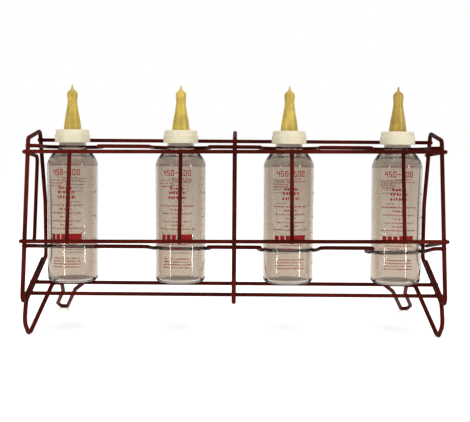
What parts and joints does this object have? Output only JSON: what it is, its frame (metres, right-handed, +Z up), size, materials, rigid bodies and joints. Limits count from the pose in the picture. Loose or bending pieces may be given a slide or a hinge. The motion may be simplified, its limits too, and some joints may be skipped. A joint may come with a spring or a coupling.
{
  "type": "feeding bottle rack",
  "caption": "Welded wire rack holding a row of clear feeding bottles with screw collars and rubber teats, for young farm stock.",
  "frame": {"origin": "on the floor, under the middle of the row of bottles", "axes": "+X along the rack, +Y from the front guard to the back, +Z up"},
  "size_m": [0.4956, 0.2191, 0.2943],
  "materials": {
    "painted_wire": "gloss dark red-brown enamel on steel wire",
    "clear_bottle": "clear, faintly grey plastic with a smooth glossy wall",
    "collar_plastic": "cream moulded plastic, satin",
    "teat_rubber": "amber latex rubber, smooth and slightly waxy",
    "print_ink": "red screen-printed ink on the bottles"
  },
  "bodies": {
    "rack": {"left_end_frame": "painted_wire", "right_end_frame": "painted_wire", "centre_frame": "painted_wire", "front_guard_wire": "painted_wire", "front_upright_1": "painted_wire", "front_upright_2": "painted_wire", "front_upright_3": "painted_wire", "front_upright_4": "painted_wire", "rear_top_rail": "painted_wire", "upper_cradle_rail": "painted_wire", "lower_cradle_rail": "painted_wire", "rear_bottom_rail": "painted_wire", "front_bottom_rail": "painted_wire"},
    "bottle_body_1": {"bottle_1": "clear_bottle"},
    "teat_body_1": {"teat_1": "teat_rubber"},
    "collar_body_1": {"collar_1": "collar_plastic"},
    "bottle_body_2": {"bottle_2": "clear_bottle"},
    "teat_body_2": {"teat_2": "teat_rubber"},
    "collar_body_2": {"collar_2": "collar_plastic"},
    "bottle_body_3": {"bottle_3": "clear_bottle"},
    "teat_body_3": {"teat_3": "teat_rubber"},
    "collar_body_3": {"collar_3": "collar_plastic"},
    "bottle_body_4": {"bottle_4": "clear_bottle"},
    "teat_body_4": {"teat_4": "teat_rubber"},
    "collar_body_4": {"collar_4": "collar_plastic"}
  },
  "joints": [
    {"name": "bottle_1_lift", "type": "slide", "parent": "rack", "child": "bottle_body_1", "axis": [0, 0, 1], "range_m": [0, 0.2]},
    {"name": "teat_1_rise", "type": "slide", "parent": "bottle_body_1", "child": "teat_body_1", "axis": [0, 0, 1], "range_m": [0, 0.0052]},
    {"name": "collar_1_turn", "type": "hinge", "parent": "teat_body_1", "child": "collar_body_1", "pos_m": [-0.19575, 0, 0.233], "axis": [0, 0, 1], "range_deg": [0, 450]},
    {"name": "bottle_2_lift", "type": "slide", "parent": "rack", "child": "bottle_body_2", "axis": [0, 0, 1], "range_m": [0, 0.2]},
    {"name": "teat_2_rise", "type": "slide", "parent": "bottle_body_2", "child": "teat_body_2", "axis": [0, 0, 1], "range_m": [0, 0.0052]},
    {"name": "collar_2_turn", "type": "hinge", "parent": "teat_body_2", "child": "collar_body_2", "pos_m": [-0.06525, 0, 0.233], "axis": [0, 0, 1], "range_deg": [0, 450]},
    {"name": "bottle_3_lift", "type": "slide", "parent": "rack", "child": "bottle_body_3", "axis": [0, 0, 1], "range_m": [0, 0.2]},
    {"name": "teat_3_rise", "type": "slide", "parent": "bottle_body_3", "child": "teat_body_3", "axis": [0, 0, 1], "range_m": [0, 0.0052]},
    {"name": "collar_3_turn", "type": "hinge", "parent": "teat_body_3", "child": "collar_body_3", "pos_m": [0.06525, 0, 0.233], "axis": [0, 0, 1], "range_deg": [0, 450]},
    {"name": "bottle_4_lift", "type": "slide", "parent": "rack", "child": "bottle_body_4", "axis": [0, 0, 1], "range_m": [0, 0.2]},
    {"name": "teat_4_rise", "type": "slide", "parent": "bottle_body_4", "child": "teat_body_4", "axis": [0, 0, 1], "range_m": [0, 0.0052]},
    {"name": "collar_4_turn", "type": "hinge", "parent": "teat_body_4", "child": "collar_body_4", "pos_m": [0.19575, 0, 0.233], "axis": [0, 0, 1], "range_deg": [0, 450]}
  ],
  "couplings": [
    {"joint": "teat_1_rise", "follows": "collar_1_turn", "m_per_rad": 0.00063662},
    {"joint": "teat_2_rise", "follows": "collar_2_turn", "m_per_rad": 0.00063662},
    {"joint": "teat_3_rise", "follows": "collar_3_turn", "m_per_rad": 0.00063662},
    {"joint": "teat_4_rise", "follows": "collar_4_turn", "m_per_rad": 0.00063662}
  ]
}
